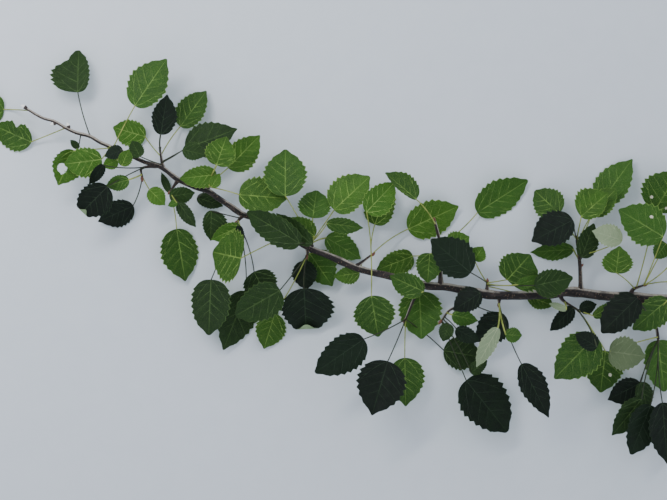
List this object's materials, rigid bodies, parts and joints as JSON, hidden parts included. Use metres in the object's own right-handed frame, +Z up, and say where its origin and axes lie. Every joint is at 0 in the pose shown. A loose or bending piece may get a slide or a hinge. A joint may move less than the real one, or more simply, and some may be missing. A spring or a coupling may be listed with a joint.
{
  "type": "poplar branch",
  "caption": "Leafy branch cut from a poplar, lying flat: a bent tapering stem with side twigs and round toothed leaves on long thin stalks.",
  "frame": {"origin": "on the surface that the branch lies on, under the middle of its box", "axes": "+X along the branch towards its cut end, +Y across it, +Z up from the surface"},
  "size_m": [0.9348, 0.5184, 0.0935],
  "materials": {
    "bark": "matte",
    "foliage": "satin"
  },
  "bodies": {
    "root": {"main_stem": "bark", "side_twig_08": "bark", "side_twig_14": "bark", "side_twig_16": "bark", "tip_shoot": "foliage", "spur_01_below": "foliage", "spur_02_above": "foliage", "spur_03_below": "foliage", "spur_04_above": "foliage", "spur_05_below": "foliage", "long_stalk_leaf": "foliage", "shoot_06_above": "foliage", "shoot_06_below": "foliage", "spur_07_above": "foliage", "tuft_08": "foliage", "spur_09_below": "foliage", "shoot_10_below": "foliage", "spur_11_above": "foliage", "shoot_12_below": "foliage", "spur_13_below": "foliage", "tuft_14": "foliage", "spur_15_above": "foliage", "tuft_16": "foliage"}
  },
  "joints": []
}
